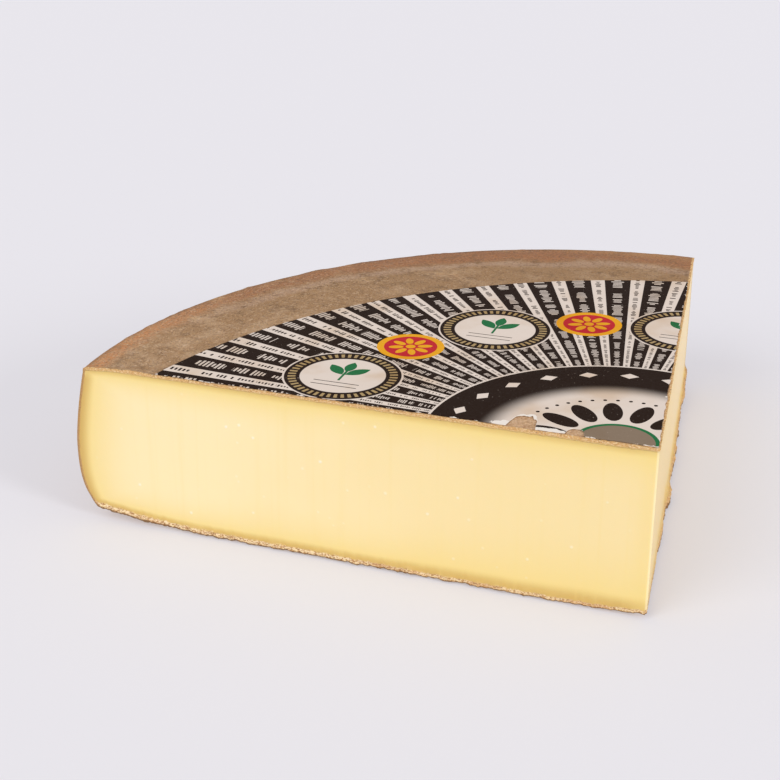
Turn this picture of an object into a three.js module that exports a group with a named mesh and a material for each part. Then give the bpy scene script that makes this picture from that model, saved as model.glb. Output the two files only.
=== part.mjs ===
// A quarter of a large, flat wheel of hard aged cheese, cut side forward, with the paper
// label that covers the middle of the wheel's upper face.
//
// Millimetres, +Z up. The front cut faces -Y and the other cut faces nearly +X, so that the
// tip stands at the front right. The wheel's round side, its heel, is at the back left.
// Shapes are worked out with the foot of the tip at (0, 0, 0), then everything moves so that
// the origin is under the middle of the piece, on the surface that it rests on.

import * as THREE from 'three';
import { mergeVertices } from 'three/addons/utils/BufferGeometryUtils.js';
import { ImprovedNoise } from 'three/addons/math/ImprovedNoise.js';

// The wheel and its two cuts
const THICKNESS = 112.8;
const RIM_RADIUS = 324.6;
const TIP_ANGLE = THREE.MathUtils.degToRad(83.15);
const TIP_ROUNDING = 1.5;
const WHEEL_CENTRE = new THREE.Vector2(-45.3, 21.1);

// The upper face falls a little towards the heel, and more steeply at its shoulder
const FACE_SLOPE = 0.014;
const SHOULDER_WIDTH = 30;
const SHOULDER_DROP = 2;

// The heel swells between its two edges, most of all just below the middle
const HEEL_SWELL = 8.6;
const HEEL_SWELL_LEVEL = 0.55;
const HEEL_FOOT_INSET = 2.8;
const SWELL_POWER_ABOVE = 1.5;
const SWELL_POWER_BELOW = 3;

// The lower face lifts towards the heel and under the tip. It rests on a flat with four
// corners, and leaves the floor by a hair outside them
const FOOT_LIFT = 7.3;
const FOOT_LIFT_WIDTH = 95;
const TIP_LIFT = 3.9;
const TIP_LIFT_WIDTH = 45;
const REST_INSET = 56;
const REST_SLOPE = 0.005;

// The rind: how far its crags stand out of the cuts, and the height of its relief
const UPPER_CRAG = 1.2;
const LOWER_CRAG = { front: 3, tip: 0.4, right: 4 };
const TIP_CRAG_FADE = 30;
const CRAG_SIZE = 13;
const RIM_WEAR = 0.8;
const FOOT_WEAR = 2;
const HEEL_WAVE = 1.6;
const HEEL_WAVE_SIZE = 55;
const HEEL_PIT = 1;
const HEEL_PIT_SIZE = 15;
const SHOULDER_WAVE = 1.2;
const SHOULDER_WAVE_SIZE = 24;
const CUT_BOW = 0.5;
const CUT_BOW_SIZE = 120;

// The label, its far edge an arc, its near edges cut through with the cheese
const LABEL_CENTRE = new THREE.Vector2(33, -70);
const LABEL_RADIUS = 358.7;
const LABEL_THICKNESS = 0.4;
const LABEL_GAP = 0.3;
const LABEL_MARGIN = 0.5;
const LABEL_FRAY = 1.4;
const LABEL_FRAY_SIZE = 9;
const LABEL_STEP = 2.5;
const TEARS = [
  { at: -82, width: 17, depth: 19 },
  { at: -50, width: 11, depth: 9 },
];

// How finely each stretch of the outline is divided, going round from the heel's front corner
const FRONT_COLUMNS = 60;
const TIP_COLUMNS = 4;
const RIGHT_COLUMNS = 56;
const HEEL_COLUMNS = 72;
const COLUMNS = FRONT_COLUMNS + TIP_COLUMNS + RIGHT_COLUMNS + HEEL_COLUMNS;

// The rings from the middle of the upper face to the middle of the lower one: distances in
// from the edge on the faces, and shares of the way down on the sides
const UPPER_RINGS = [90, 32, 18, 9, 3];
const SIDE_RINGS = [0, 0.022, 0.07, 0.18, 0.32, 0.46, 0.6, 0.74, 0.86, 0.935, 0.972, 1];
const LOWER_RINGS = [3, 10, 24, 48];
const FACE_MIDDLE = new THREE.Vector2(-165, 140);

const FRONT_CUT = new THREE.Vector2(-1, 0);
const RIGHT_CUT = new THREE.Vector2(-Math.cos(TIP_ANGLE), Math.sin(TIP_ANGLE));
const BISECTOR = FRONT_CUT.clone().add(RIGHT_CUT).normalize();
const REST_TIP = BISECTOR.clone().multiplyScalar(REST_INSET / Math.sin(TIP_ANGLE / 2));
const REST_CORNERS = [
  REST_TIP.clone().addScaledVector(FRONT_CUT, 195),
  REST_TIP,
  REST_TIP.clone().addScaledVector(RIGHT_CUT, 195),
  REST_TIP.clone().addScaledVector(BISECTOR, 204),
];

const grain = new ImprovedNoise();
const { clamp, lerp, smoothstep } = THREE.MathUtils;

// A smooth uneven value between -1 and 1, whose bumps are about one size across
function uneven(x, y, z, size) {
  return clamp(1.4 * grain.noise(x / size, y / size, z / size), -1, 1);
}

// The same between 0 and 1
function unevenShare(x, y, z, size) {
  return 0.5 + 0.5 * uneven(x, y, z, size);
}

// How far along a cut from the tip it meets a heel of this radius
function cutLength(direction, radius) {
  const along = direction.dot(WHEEL_CENTRE);
  return along + Math.sqrt(radius ** 2 - WHEEL_CENTRE.lengthSq() + along ** 2);
}

// Distance in from the rim of the wheel
function fromRim(point) {
  return RIM_RADIUS - point.distanceTo(WHEEL_CENTRE);
}

// A fall that is 1 at an edge and eases to 0 at a given distance from it
function easeIn(distance, width) {
  return clamp(1 - distance / width, 0, 1) ** 2;
}

function upperHeight(point) {
  const fall = FACE_SLOPE * BISECTOR.dot(point);
  return THICKNESS - fall - SHOULDER_DROP * easeIn(fromRim(point), SHOULDER_WIDTH);
}

function nearestRestCorner(point) {
  return REST_CORNERS.reduce((nearest, corner) => (
    point.distanceTo(corner) < point.distanceTo(nearest) ? corner : nearest
  ));
}

// How far a point of the plan lies outside the flat that the piece rests on
function outsideRest(point) {
  const distances = REST_CORNERS.map((corner, index) => {
    const side = REST_CORNERS[(index + 1) % REST_CORNERS.length].clone().sub(corner);
    return point.clone().sub(corner).cross(side) / side.length();
  });
  return Math.max(0, ...distances);
}

function lowerHeight(point) {
  const heel = FOOT_LIFT * easeIn(fromRim(point), FOOT_LIFT_WIDTH);
  const tip = TIP_LIFT * easeIn(point.length(), TIP_LIFT_WIDTH);
  return heel + tip + REST_SLOPE * outsideRest(point);
}

// How far the heel stands out at a share of the way down its side
function swell(down) {
  if (down < HEEL_SWELL_LEVEL) {
    const above = 1 - down / HEEL_SWELL_LEVEL;
    return HEEL_SWELL * (1 - above ** SWELL_POWER_ABOVE);
  }
  const below = (down - HEEL_SWELL_LEVEL) / (1 - HEEL_SWELL_LEVEL);
  const reach = HEEL_SWELL + HEEL_FOOT_INSET;
  return HEEL_SWELL - reach * below ** SWELL_POWER_BELOW;
}

// The outline's point, its outward direction, and which side it is on, for a heel radius
function outline(column, radius) {
  const half = TIP_ANGLE / 2;
  const tangent = TIP_ROUNDING / Math.tan(half);
  let index = column % COLUMNS;
  if (index <= FRONT_COLUMNS) {
    const reach = lerp(cutLength(FRONT_CUT, radius), tangent, index / FRONT_COLUMNS);
    const point = FRONT_CUT.clone().multiplyScalar(reach);
    return { point, outward: new THREE.Vector2(0, -1), side: 'front' };
  }
  index -= FRONT_COLUMNS;
  if (index < TIP_COLUMNS) {
    const turn = (Math.PI - TIP_ANGLE) * (index / TIP_COLUMNS) - Math.PI / 2;
    const outward = new THREE.Vector2(Math.cos(turn), Math.sin(turn));
    const centre = BISECTOR.clone().multiplyScalar(TIP_ROUNDING / Math.sin(half));
    return { point: centre.addScaledVector(outward, TIP_ROUNDING), outward, side: 'tip' };
  }
  index -= TIP_COLUMNS;
  if (index <= RIGHT_COLUMNS) {
    const reach = lerp(tangent, cutLength(RIGHT_CUT, radius), index / RIGHT_COLUMNS);
    const outward = new THREE.Vector2(RIGHT_CUT.y, -RIGHT_CUT.x);
    return { point: RIGHT_CUT.clone().multiplyScalar(reach), outward, side: 'right' };
  }
  index -= RIGHT_COLUMNS;
  const far = RIGHT_CUT.clone().multiplyScalar(cutLength(RIGHT_CUT, radius));
  const near = FRONT_CUT.clone().multiplyScalar(cutLength(FRONT_CUT, radius));
  const start = far.sub(WHEEL_CENTRE).angle();
  const end = near.sub(WHEEL_CENTRE).angle();
  const turn = lerp(start, end, index / HEEL_COLUMNS);
  const outward = new THREE.Vector2(Math.cos(turn), Math.sin(turn));
  return { point: WHEEL_CENTRE.clone().addScaledVector(outward, radius), outward, side: 'heel' };
}

// A point of one of the two round faces, some way in from its edge towards its middle
function facePoint(column, inward, upper) {
  const radius = RIM_RADIUS + swell(upper ? 0 : 1);
  const { point } = outline(column, radius);
  const way = FACE_MIDDLE.clone().sub(point);
  point.addScaledVector(way, inward / way.length());
  if (!upper) {
    return new THREE.Vector3(point.x, point.y, lowerHeight(point));
  }
  const nearRim = 1 - smoothstep(fromRim(point), SHOULDER_WIDTH, SHOULDER_WIDTH + 12);
  const wave = SHOULDER_WAVE * uneven(point.x, point.y, 0, SHOULDER_WAVE_SIZE);
  return new THREE.Vector3(point.x, point.y, upperHeight(point) + nearRim * wave);
}

// The corner of the flat that a column ends in on the lower face
function restPoint(column) {
  const corner = nearestRestCorner(facePoint(column, LOWER_RINGS.at(-1), false));
  return new THREE.Vector3(corner.x, corner.y, 0);
}

// A point of the upright sides. The crags of the rind stand out of the cuts along both edges
function sidePoint(column, down) {
  const rim = outline(column, RIM_RADIUS).point;
  const { point, outward, side } = outline(column, RIM_RADIUS + swell(down));
  const top = facePoint(column, 0, true).z;
  const height = lerp(top, lowerHeight(rim), down);
  const { x, y } = point;
  const rimWear = RIM_WEAR * unevenShare(x, y, 40, CRAG_SIZE);
  const footWear = FOOT_WEAR * unevenShare(x, y, 80, CRAG_SIZE);
  const level = height - (down === 0 ? rimWear : 0) + (down === 1 ? footWear : 0);
  let out = 0;
  if (side === 'heel') {
    out += HEEL_WAVE * uneven(x, y, height * 2, HEEL_WAVE_SIZE);
    out += HEEL_PIT * uneven(x, y, height, HEEL_PIT_SIZE);
    out *= smoothstep(down, 0, 0.1) * (1 - smoothstep(down, 0.9, 1));
  } else {
    const upperCrag = UPPER_CRAG * (1 - smoothstep(down, 0.022, 0.07));
    const awayFromTip = smoothstep(point.length(), TIP_ROUNDING, TIP_CRAG_FADE);
    const cragReach = lerp(LOWER_CRAG.tip, LOWER_CRAG[side], awayFromTip);
    const lowerCrag = cragReach * smoothstep(down, 0.935, 0.972);
    out += upperCrag * unevenShare(x, y, 120, CRAG_SIZE);
    out += lowerCrag * unevenShare(x, y, 160, CRAG_SIZE) ** 2;
    out += CUT_BOW * uneven(x, y, height, CUT_BOW_SIZE);
  }
  point.addScaledVector(outward, out);
  return new THREE.Vector3(point.x, point.y, level);
}

// One closed skin of rings and columns, like a sphere's, laid onto the shape ring by ring
function closedSkin(rings) {
  const geometry = new THREE.SphereGeometry(1, COLUMNS, rings.length - 1);
  const position = geometry.getAttribute('position');
  rings.forEach((ringPoint, ring) => {
    for (let column = 0; column <= COLUMNS; column += 1) {
      const { x, y, z } = ringPoint(column);
      position.setXYZ(ring * (COLUMNS + 1) + column, x, y, z);
    }
  });
  return weld(geometry);
}

// Joins the points that lie together, so that the surface is closed, leaves out the
// triangles that this folds flat, and shades the surface again
function weld(geometry) {
  geometry.deleteAttribute('normal');
  geometry.deleteAttribute('uv');
  const welded = mergeVertices(geometry, 1e-3);
  const corners = Array.from(welded.getIndex().array);
  welded.setIndex(corners.filter((_, place) => {
    const first = place - (place % 3);
    return new Set(corners.slice(first, first + 3)).size === 3;
  }));
  welded.computeVertexNormals();
  return welded;
}

function cheeseGeometry() {
  const middle = (height) => () => new THREE.Vector3(FACE_MIDDLE.x, FACE_MIDDLE.y, height);
  return closedSkin([
    middle(upperHeight(FACE_MIDDLE)),
    ...UPPER_RINGS.map((inward) => (column) => facePoint(column, inward, true)),
    ...SIDE_RINGS.map((down) => (column) => sidePoint(column, down)),
    ...LOWER_RINGS.map((inward) => (column) => facePoint(column, inward, false)),
    restPoint,
    middle(0),
  ]);
}

// How deep the label's front edge is torn away, at a place along the front cut. Each tear is
// blunt at its inner end, with steep sides
function tearDepth(along) {
  return TEARS.reduce((deepest, { at, width, depth }) => {
    const across = Math.min(1, Math.abs(along - at) / (width / 2));
    const hollow = depth * (1 - across ** 4) ** 0.6;
    return Math.max(deepest, hollow);
  }, 0);
}

// The frayed line of the label along a cut, from one distance from the tip to another
function frayedEdge(direction, inward, from, to, torn) {
  const steps = Math.round(Math.abs(to - from) / LABEL_STEP);
  return Array.from({ length: steps + 1 }, (_, step) => {
    const reach = lerp(from, to, step / steps);
    const point = direction.clone().multiplyScalar(reach);
    const fray = LABEL_FRAY * unevenShare(point.x, point.y, 200, LABEL_FRAY_SIZE);
    const depth = LABEL_MARGIN + fray + (torn ? tearDepth(point.x) : 0);
    return point.addScaledVector(inward, depth);
  });
}

// Where the label's arc meets a cut, as a distance from the tip
function labelReach(direction) {
  const along = direction.dot(LABEL_CENTRE);
  return along + Math.sqrt(LABEL_RADIUS ** 2 - LABEL_CENTRE.lengthSq() + along ** 2);
}

function labelOutline() {
  const corner = LABEL_MARGIN + LABEL_FRAY;
  const leftwards = new THREE.Vector2(-RIGHT_CUT.y, RIGHT_CUT.x);
  const backwards = new THREE.Vector2(0, 1);
  const front = frayedEdge(FRONT_CUT, backwards, labelReach(FRONT_CUT), corner, true);
  const right = frayedEdge(RIGHT_CUT, leftwards, corner, labelReach(RIGHT_CUT), false);
  const start = right.at(-1).clone().sub(LABEL_CENTRE).angle();
  const end = front[0].clone().sub(LABEL_CENTRE).angle();
  const arc = new THREE.Path();
  arc.absarc(LABEL_CENTRE.x, LABEL_CENTRE.y, LABEL_RADIUS, start, end, false);
  return new THREE.Shape([...front, ...right, ...arc.getSpacedPoints(HEEL_COLUMNS).slice(1, -1)]);
}

const cheese = new THREE.Mesh(
  cheeseGeometry(),
  new THREE.MeshStandardMaterial({ color: 0xf2dc9c, roughness: 0.55, metalness: 0 }),
);
cheese.name = 'cheese';

const label = new THREE.Mesh(
  weld(new THREE.ExtrudeGeometry(labelOutline(), { depth: LABEL_THICKNESS, bevelEnabled: false })),
  new THREE.MeshStandardMaterial({ color: 0x8d8379, roughness: 0.6, metalness: 0 }),
);
label.name = 'label';

// The label lies on the sloping upper face: it turns about a level line through the tip
const levelLine = new THREE.Vector3(-BISECTOR.y, BISECTOR.x, 0);
label.quaternion.setFromAxisAngle(levelLine, Math.atan(FACE_SLOPE));
label.position.z = THICKNESS + LABEL_GAP;

// The origin: under the middle of the piece, between its cuts and its heel at its widest
const widest = RIM_RADIUS + HEEL_SWELL;
const quarter = new THREE.Group();
quarter.add(cheese, label);
quarter.position.set((widest - WHEEL_CENTRE.x) / 2, -(widest + WHEEL_CENTRE.y) / 2, 0);

const piece = new THREE.Group();
piece.add(quarter);
piece.updateMatrixWorld(true);

export default piece;
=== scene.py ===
# %% [markdown]
# # A large cut piece of hard cheese
#
# This notebook builds a quarter of a big, flat wheel of hard aged cheese, with the paper
# label that covers the middle of the wheel's upper face. The piece has three surfaces to get
# right: the smooth, waxy paste where a wire cut it, the dry, rough rind on every old outside
# face, and the matt printed paper. A measured model of the piece is already there as a frame.
# It is loaded first, and everything that is made here takes its place.

# %% load the frame
from math import atan, cos, degrees, pi, radians, sin, sqrt, tan

import bmesh
import bpy
from mathutils import Matrix, Vector, noise


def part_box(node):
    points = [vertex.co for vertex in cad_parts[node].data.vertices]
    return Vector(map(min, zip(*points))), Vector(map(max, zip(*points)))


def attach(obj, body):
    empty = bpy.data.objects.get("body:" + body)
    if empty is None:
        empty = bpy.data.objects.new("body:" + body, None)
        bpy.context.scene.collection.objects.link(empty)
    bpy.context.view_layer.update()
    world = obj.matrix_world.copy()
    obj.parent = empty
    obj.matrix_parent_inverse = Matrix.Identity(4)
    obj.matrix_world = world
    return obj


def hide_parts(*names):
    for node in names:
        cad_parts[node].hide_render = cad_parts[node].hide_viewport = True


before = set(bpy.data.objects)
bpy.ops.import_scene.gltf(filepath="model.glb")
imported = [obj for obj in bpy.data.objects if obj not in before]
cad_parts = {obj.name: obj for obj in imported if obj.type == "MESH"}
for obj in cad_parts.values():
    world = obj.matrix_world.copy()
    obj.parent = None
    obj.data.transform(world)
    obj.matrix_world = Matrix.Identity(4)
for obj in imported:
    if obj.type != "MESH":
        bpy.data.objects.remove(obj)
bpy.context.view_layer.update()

print("nodes in the frame:", sorted(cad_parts))

# %% [markdown]
# ## Sizes
#
# Blender works in metres here, so millimetres are written as a number times `MM`. The piece is
# laid out with the foot of its tip, where the two cuts meet, at zero. One cut runs from there
# along -X and the other one goes back. The wheel's own middle lies inside the piece, because
# the cuts pass beside it. At the end everything moves to where the frame has its tip.

# %% the wheel and its cuts
MM = 0.001
THICKNESS = 112.8 * MM
RIM_RADIUS = 324.6 * MM
TIP_ANGLE = radians(83.15)
TIP_ROUNDING = 1 * MM
WHEEL_CENTRE = Vector((-45.3, 21.1, 0)) * MM

FRONT_CUT = Vector((-1, 0, 0))
RIGHT_CUT = Vector((-cos(TIP_ANGLE), sin(TIP_ANGLE), 0))
BISECTOR = (FRONT_CUT + RIGHT_CUT).normalized()
FACE_MIDDLE = Vector((-165, 140, 0)) * MM

FACE_SLOPE = 0.014
SHOULDER_WIDTH = 30 * MM
SHOULDER_DROP = 2 * MM
HEEL_SWELL = 8.6 * MM
HEEL_SWELL_LEVEL = 0.55
HEEL_FOOT_INSET = 2.8 * MM
SWELL_POWER_ABOVE = 1.5
SWELL_POWER_BELOW = 3
FOOT_LIFT = 7.3 * MM
FOOT_LIFT_WIDTH = 95 * MM
TIP_LIFT = 2.3 * MM
TIP_LIFT_WIDTH = 45 * MM

WIDEST = RIM_RADIUS + HEEL_SWELL
TIP = Vector((WIDEST - WHEEL_CENTRE.x, -WIDEST - WHEEL_CENTRE.y, 0)) / 2
lowest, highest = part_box("cheese")
print("tip at", [round(value, 4) for value in TIP], "in a box", lowest[:], highest[:])

# %% [markdown]
# ## The faces as heights
#
# Both round faces are nearly flat. The upper one falls a little from the tip to the heel and
# rolls over at its shoulder. The lower one lifts under the heel and under the tip, so the piece
# rests on its middle. Both are easiest as a height for each point of the plan. The heel is a
# radius that changes on the way down: it swells, most of all just below the middle.


# %% heights and radius
def clamp(value):
    return max(0.0, min(1.0, value))


def smooth_step(value, low, high):
    share = clamp((value - low) / (high - low))
    return share * share * (3 - 2 * share)


def cut_length(direction, radius, centre=WHEEL_CENTRE):
    """How far along a cut from the tip it meets a circle."""
    along = direction.dot(centre)
    return along + sqrt(radius**2 - centre.length_squared + along**2)


def from_rim(point):
    return RIM_RADIUS - (point.xy - WHEEL_CENTRE.xy).length


def upper_height(point):
    fall = FACE_SLOPE * BISECTOR.xy.dot(point.xy)
    return THICKNESS - fall - SHOULDER_DROP * clamp(1 - from_rim(point) / SHOULDER_WIDTH) ** 2


def lower_height(point):
    heel = FOOT_LIFT * clamp(1 - from_rim(point) / FOOT_LIFT_WIDTH) ** 2
    return heel + TIP_LIFT * clamp(1 - point.xy.length / TIP_LIFT_WIDTH) ** 2


def heel_swell(down):
    """How far the heel stands out of the rim's radius, at a share of the way down."""
    if down < HEEL_SWELL_LEVEL:
        return HEEL_SWELL * (1 - (1 - down / HEEL_SWELL_LEVEL) ** SWELL_POWER_ABOVE)
    below = (down - HEEL_SWELL_LEVEL) / (1 - HEEL_SWELL_LEVEL)
    return HEEL_SWELL - (HEEL_SWELL + HEEL_FOOT_INSET) * below**SWELL_POWER_BELOW


front_length, right_length = (cut_length(cut, RIM_RADIUS) for cut in (FRONT_CUT, RIGHT_CUT))
print(f"front cut {front_length / MM:.0f} mm, right cut {right_length / MM:.0f} mm")

# %% [markdown]
# ## The plan
#
# The outline could be typed as a list of points, but only five of its places matter: two
# corners at the heel, the rounded tip, and the middles of the two arcs. So a vertex is spun for
# each arc, and the straight cuts are single edges that are subdivided afterwards. The spacing
# is under two millimetres, because the rind's crags are that small, and closer round the tip.

# %% spin the outline
COLUMN_STEP = 1.7 * MM
TIP_STEP = 0.4 * MM
TIP_MIDDLE = BISECTOR * (TIP_ROUNDING / sin(TIP_ANGLE / 2))


def straight(mesh, start, end, step):
    """A straight edge from one point to another, subdivided into short ones."""
    edge = mesh.edges.new((mesh.verts.new(start), mesh.verts.new(end)))
    pieces = round(edge.calc_length() / step)
    bmesh.ops.subdivide_edges(mesh, edges=[edge], cuts=pieces - 1)


def arc(mesh, start, end, centre, step):
    """Sweeps a vertex round a centre, anticlockwise, until it meets the end."""
    first, last = (start - centre).xy, (end - centre).xy
    angle = -first.angle_signed(last) % (2 * pi)
    steps = round(angle * first.length / step)
    sweep = {"cent": centre, "axis": (0, 0, 1), "angle": angle, "steps": steps}
    bmesh.ops.spin(mesh, geom=[mesh.verts.new(start)], **sweep)


def wedge_outline(mesh, step, tip_step):
    """The closed outline of the piece at its rim."""
    near_corner, far_corner = FRONT_CUT * front_length, RIGHT_CUT * right_length
    rounded = TIP_ROUNDING / tan(TIP_ANGLE / 2)
    front_end, right_start = FRONT_CUT * rounded, RIGHT_CUT * rounded
    straight(mesh, near_corner, front_end, step)
    arc(mesh, front_end, right_start, TIP_MIDDLE, tip_step)
    straight(mesh, right_start, far_corner, step)
    arc(mesh, far_corner, near_corner, WHEEL_CENTRE, step)
    bmesh.ops.remove_doubles(mesh, verts=mesh.verts, dist=tip_step / 10)


body = bmesh.new()
wedge_outline(body, COLUMN_STEP, TIP_STEP)
print("outline of", len(body.verts), "vertices and", len(body.edges), "edges")

# %% [markdown]
# ## Up from the plan
#
# Filled, the outline is one big face. Extruded once it is a prism, and its upright edges are
# then subdivided into rows. Even rows would waste faces on the smooth middle of the cuts, so
# each row's level is moved: close together at the two edges, where the rind shows, and about
# three times wider in between.

# %% extrude the prism and space its rows
ROWS = 56
ROW_CROWDING = 0.55


def crowded(share):
    """Moves a share of the height towards the nearer edge."""
    eased = 0.5 - 0.5 * cos(pi * share)
    return share + (eased - share) * ROW_CROWDING


def extruded(mesh, face):
    """Extrudes a face and returns the new one at the other end."""
    grown = bmesh.ops.extrude_face_region(mesh, geom=[face])["geom"]
    (end,) = (part for part in grown if isinstance(part, bmesh.types.BMFace))
    return end


def prism(mesh, height):
    """Fills the outline, extrudes it upwards and returns its lower and its upper face."""
    (lower,) = bmesh.ops.contextual_create(mesh, geom=mesh.edges[:])["faces"]
    upper = extruded(mesh, lower)
    bmesh.ops.translate(mesh, vec=(0, 0, height), verts=upper.verts)
    bmesh.ops.recalc_face_normals(mesh, faces=mesh.faces)
    return lower, upper


lower_face, upper_face = prism(body, THICKNESS)
uprights = [edge for edge in body.edges if abs(edge.verts[0].co.z - edge.verts[1].co.z) > MM]
bmesh.ops.subdivide_edges(body, edges=uprights, cuts=ROWS - 1, use_grid_fill=True)
for vertex in body.verts:
    vertex.co.z = THICKNESS * crowded(vertex.co.z / THICKNESS)
print("prism:", len(body.verts), "vertices,", len(body.faces), "faces")

# %% [markdown]
# ## The sides
#
# Now each vertex of the prism is moved to its true place. For that the script has to know which
# side it is on and which way is out from there. All that is uneven comes from noise that is read
# at the vertex's own place, so it has no seams and is the same on every run.

# %% sides and noise
ON_LINE = 1e-5
RIGHT_OUT = Vector((RIGHT_CUT.y, -RIGHT_CUT.x, 0))
LIFTS = {"rim": Vector((0, 0, 0.4)), "foot": Vector((0, 0, 0.8)), "crag": Vector((0, 0, 1.2))}


def uneven(point, size, octaves=3):
    """Noise between about -1 and 1, with bumps of about the given size."""
    return noise.fractal(point / size, 1.0, 2.0, octaves)


def share_of(point, size, octaves=3):
    """The same noise as a share between 0 and 1."""
    return clamp(0.5 + 0.6 * uneven(point, size, octaves))


def side_of(plan):
    """Which side a point of the outline is on, and the way out from there."""
    if plan.y < ON_LINE:
        return "front", Vector((0, -1, 0))
    if plan.dot(RIGHT_OUT) > -ON_LINE:
        return "right", RIGHT_OUT
    if from_rim(plan) < ON_LINE:
        return "heel", (plan - WHEEL_CENTRE).normalized()
    return "tip", (plan - TIP_MIDDLE).normalized()


def swollen(plan, side, swell):
    """Where a point of the rim's outline is when the heel swells."""
    if side == "heel":
        return WHEEL_CENTRE + (plan - WHEEL_CENTRE).normalized() * (RIM_RADIUS + swell)
    cut = FRONT_CUT if side == "front" else RIGHT_CUT
    stretch = cut_length(cut, RIM_RADIUS + swell) / cut_length(cut, RIM_RADIUS)
    return plan * stretch if side in ("front", "right") else plan


print("the right cut faces", [round(value, 2) for value in RIGHT_OUT])

# %% [markdown]
# ## Crags of broken rind
#
# A wire leaves the paste almost flat, but the hard rind breaks instead of being cut. So along
# both edges of each cut it stands out in crags: fine ones at the top, coarser ones at the foot,
# and the coarsest along the foot of the right cut, where the rind is thickest. Sculpting them
# one by one would take days. Noise makes them all at once, and steps that fade with the distance
# from an edge keep them where they belong. Those at the foot fade towards the tip too.

# %% how far the rind stands out
RIND = {"top": 1.5 * MM, "foot": 4 * MM, "heel": 1.7 * MM}
RIGHT_FOOT_TIMES = 1.9
RIGHT_FOOT_START = 60 * MM
UPPER_CRAG = 0.7 * MM
LOWER_CRAG = {"front": 2.2 * MM, "tip": 0.3 * MM, "right": 4.6 * MM}
CRAG_LENGTH = {"front": 12 * MM, "tip": 12 * MM, "right": 26 * MM}
CRAG_FADE = {"front": 70 * MM, "tip": 70 * MM, "right": 150 * MM}
GRAIN_SIZE = 3 * MM


def foot_thickness(place, side):
    """The rind's thickness underneath. It has broken away coarsely along the right cut."""
    if side != "right":
        return RIND["foot"]
    away = smooth_step(place.xy.length, 0, RIGHT_FOOT_START)
    return RIND["foot"] * (1 + (RIGHT_FOOT_TIMES - 1) * away)


def crag(place, side, above, below):
    """How far the broken rind stands out of a cut, near its upper and its lower edge."""
    near_top = 1 - smooth_step(above, 0.6 * RIND["top"], 1.6 * RIND["top"])
    away = smooth_step(place.xy.length, TIP_ROUNDING, CRAG_FADE[side])
    foot = foot_thickness(place, side)
    near_foot = 1 - smooth_step(below, 0.7 * foot, 1.5 * foot)
    reach = LOWER_CRAG["tip"] + (LOWER_CRAG[side] - LOWER_CRAG["tip"]) * away
    lumps = share_of(place + LIFTS["crag"], CRAG_LENGTH[side], 2)
    grains = share_of(place + LIFTS["foot"], GRAIN_SIZE)
    upper = UPPER_CRAG * (0.35 + 0.65 * grains) * near_top
    return upper + reach * (0.7 * lumps**2 + 0.3 * grains) * near_foot


print("crags reach", LOWER_CRAG["right"] / MM, "mm out of the right cut at its foot")

# %% how far the rind stands up or hangs unevenly
UPPER_LUMP = 0.6 * MM
UPPER_LUMP_FADE = (0.6 * MM, 1.6 * MM)
FOOT_LUMP = 1.5 * MM
FOOT_LUMP_SIZE = 9 * MM
FOOT_LUMP_WIDTH = 7 * MM


def edge_lump(point):
    """How far the broken rind stands up along the upper edge of a cut."""
    from_cut = min(point.y, -point.dot(RIGHT_OUT))
    near = 1 - smooth_step(from_cut, *UPPER_LUMP_FADE)
    grains = share_of(Vector((point.x, point.y, 0.5)), GRAIN_SIZE)
    return UPPER_LUMP * (1.6 * grains - 0.5) * near


def foot_lump(point):
    """How far the underside lifts, unevenly, towards the cuts and the heel."""
    from_edge = min(point.y, -point.dot(RIGHT_OUT), from_rim(point))
    near = 1 - smooth_step(from_edge, 0, FOOT_LUMP_WIDTH)
    lumps = share_of(point + LIFTS["foot"], FOOT_LUMP_SIZE) + share_of(point, GRAIN_SIZE)
    return FOOT_LUMP * lumps * near


print("the foot lifts up to", 2 * FOOT_LUMP / MM, "mm unevenly")

# %% [markdown]
# ## The heel, and numbers for the finish
#
# The heel has broad dents from the mould and its cloth, ridges and fine pits: the same noise
# three times, each time smaller. Dents and ridges are squashed upright, so they lie flat.
#
# Each vertex of the sides also gets two numbers for the finish. The `rind` share grows from 0
# outside to 1 where the rind ends, and the `depth` counts on from there into the paste. Towards
# the middle of the wheel the rind is thicker on top and thinner underneath. The paste has dried
# furthest in at the heel, and at the foot near the tip. There its depth counts more slowly, so
# that one ramp of colour serves every edge.

# %% relief of the heel, and depth
HEEL_DENTS = (1.1 * MM, 60 * MM, 2)
HEEL_RIDGES = (0.45 * MM, 13 * MM, 3)
HEEL_PITS = (0.35 * MM, 4 * MM, 2)
HEEL_WORN = 0.8 * MM
HEEL_SQUASH = 2.2
RIND_GROWTH = {"top": 0.5, "foot": -0.35, "heel": 0}
EDGE_DRYING = {"top": 1.1, "foot": 1.1, "heel": 2}
DRYING_GROWTH = {"top": 0.1, "foot": 1.5, "heel": 0}


def bumps(point, height, size, octaves):
    """Noise of a given height and size."""
    return height * uneven(point, size, octaves)


def heel_relief(place, down):
    """Dents, ridges and pits of the heel, which fade into its two edges."""
    squashed = Vector((place.x, place.y, place.z * HEEL_SQUASH))
    relief = bumps(squashed, *HEEL_DENTS) + bumps(squashed + LIFTS["rim"], *HEEL_RIDGES)
    relief = relief + bumps(place, *HEEL_PITS) - HEEL_WORN
    return relief * (0.3 + 0.7 * smooth_step(down, 0, 0.08)) * (1 - smooth_step(down, 0.93, 1))


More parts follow.
